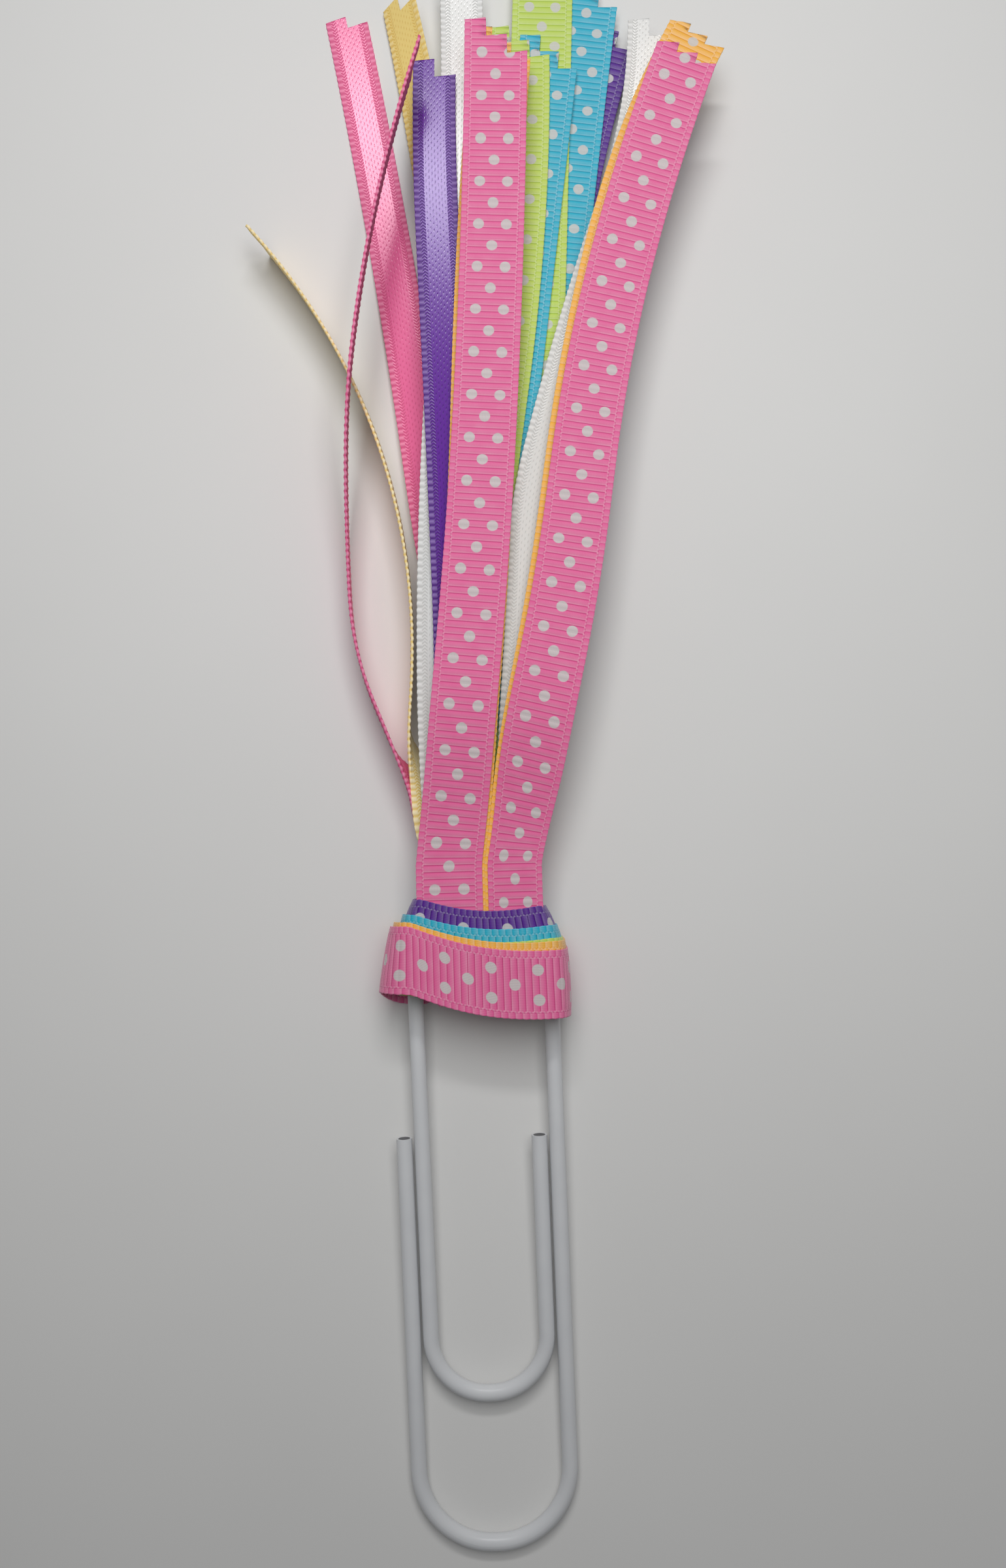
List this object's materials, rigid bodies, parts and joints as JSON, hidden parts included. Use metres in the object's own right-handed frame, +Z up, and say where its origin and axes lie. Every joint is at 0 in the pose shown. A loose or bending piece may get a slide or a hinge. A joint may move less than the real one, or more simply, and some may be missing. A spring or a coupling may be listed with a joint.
{
  "type": "ribbon paper-clip bookmark",
  "caption": "Bookmark made of a large coated-wire paper clip with a tassel of dotted grosgrain and satin ribbons hitched to its top bend.",
  "frame": {"origin": "middle of the footprint, on the table that the bookmark lies on", "axes": "+Y from the clip to the ribbon tips, +X across the clip, +Z up from the table"},
  "size_m": [0.0766, 0.2552, 0.0151],
  "materials": {
    "steel_wire": "drawn wire",
    "white_vinyl": "semi-gloss",
    "pink_dotted": "ribbed grosgrain with white dots",
    "gold_dotted": "ribbed grosgrain with white dots",
    "lime_dotted": "ribbed grosgrain with white dots",
    "turquoise_dotted": "ribbed grosgrain with white dots",
    "purple_dotted": "ribbed grosgrain with white dots",
    "white_satin": "satin",
    "purple_satin": "satin",
    "pink_satin": "satin",
    "yellow_satin": "satin"
  },
  "bodies": {
    "clip": {"outer_loop_core": "steel_wire", "outer_loop_coating": "white_vinyl", "pink_dotted_hitch": "pink_dotted", "gold_dotted_hitch": "gold_dotted", "lime_dotted_hitch": "lime_dotted", "turquoise_dotted_hitch": "turquoise_dotted", "purple_dotted_hitch": "purple_dotted", "white_satin_hitch": "white_satin", "purple_satin_hitch": "purple_satin", "pink_satin_hitch": "pink_satin", "yellow_satin_hitch": "yellow_satin"},
    "tongue": {"inner_loop_core": "steel_wire", "inner_loop_coating": "white_vinyl"},
    "tassel": {"pink_dotted_left_tail": "pink_dotted", "pink_dotted_right_tail": "pink_dotted", "gold_dotted_left_tail": "gold_dotted", "gold_dotted_right_tail": "gold_dotted", "lime_dotted_left_tail": "lime_dotted", "lime_dotted_right_tail": "lime_dotted", "turquoise_dotted_left_tail": "turquoise_dotted", "turquoise_dotted_right_tail": "turquoise_dotted", "purple_dotted_left_tail": "purple_dotted", "purple_dotted_right_tail": "purple_dotted", "white_satin_left_tail": "white_satin", "white_satin_right_tail": "white_satin", "purple_satin_left_tail": "purple_satin", "purple_satin_right_tail": "purple_satin", "pink_satin_left_tail": "pink_satin", "pink_satin_right_tail": "pink_satin", "yellow_satin_left_tail": "yellow_satin", "yellow_satin_right_tail": "yellow_satin"}
  },
  "joints": [
    {"name": "clip_flex", "type": "hinge", "parent": "clip", "child": "tongue", "pos_m": [-0.00349, -0.02849, 0.00465], "axis": [-1, 0, 0], "range_deg": [0, 5], "stiffness_Nm_per_rad": 0.6},
    {"name": "tassel_swing", "type": "hinge", "parent": "clip", "child": "tassel", "pos_m": [-0.00349, -0.02549, 0.00763], "axis": [1, 0, 0], "range_deg": [-70, 70]}
  ]
}
